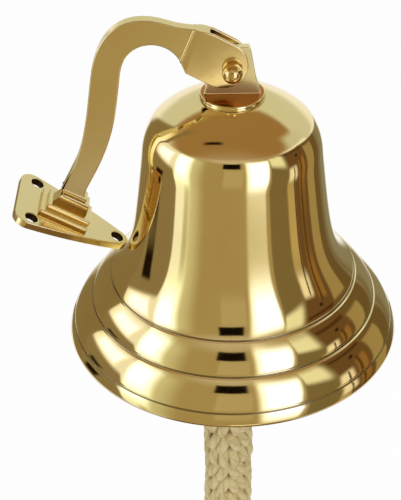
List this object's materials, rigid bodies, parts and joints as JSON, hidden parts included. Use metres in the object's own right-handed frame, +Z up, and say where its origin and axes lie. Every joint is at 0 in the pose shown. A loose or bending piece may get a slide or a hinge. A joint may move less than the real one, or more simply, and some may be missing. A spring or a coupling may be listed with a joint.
{
  "type": "ship bell",
  "caption": "Brass ship's bell hung by a hinge from a curved wall bracket, with a clapper and a braided cotton lanyard.",
  "frame": {"origin": "on the back face of the wall plate, at the middle of its three screw holes, with the bracket folded down so that the plate's tip leans on the bell's waist", "axes": "+Z up as the bell hangs plumb from its hinge pin, +X from the wall plate towards the bell, the hinge pin along Y; the object mirrors itself across Y = 0"},
  "size_m": [0.2279, 0.2, 0.4656],
  "materials": {
    "bracket_brass": "polished",
    "pin_brass": "polished",
    "hanger_brass": "polished",
    "bell_brass": "mirror polished",
    "fitting_brass": "machined",
    "clapper_brass": "turned and polished",
    "steel": "plain",
    "cotton": "braided cotton cord"
  },
  "bodies": {
    "bracket": {"wall_plate": "bracket_brass", "bracket_arm": "bracket_brass", "arm_screws": "steel", "hinge_pin": "pin_brass", "pin_nut": "pin_brass"},
    "bell": {"hanger": "hanger_brass", "bell_shell": "bell_brass", "crown_washer": "fitting_brass", "crown_nut": "fitting_brass", "clapper_eye": "fitting_brass"},
    "clapper": {"clapper_rod": "clapper_brass", "clapper_ball": "clapper_brass"},
    "lanyard": {"lanyard_loop": "cotton", "lanyard_whipping": "cotton", "lanyard_braid": "cotton", "lanyard_knot": "cotton"}
  },
  "joints": [
    {"name": "bell_swing", "type": "hinge", "parent": "bracket", "child": "bell", "pos_m": [0.10075, 0, 0.09997], "axis": [0, -1, 0], "range_deg": [0, 153]},
    {"name": "clapper_swing", "type": "hinge", "parent": "bell", "child": "clapper", "pos_m": [0.10144, 0, 0.04698], "axis": [0, -1, 0], "range_deg": [-30.4, 32.4]},
    {"name": "lanyard_swing", "type": "hinge", "parent": "clapper", "child": "lanyard", "pos_m": [0.10144, 0, -0.10253], "axis": [0, -1, 0], "range_deg": [-45, 45]}
  ]
}
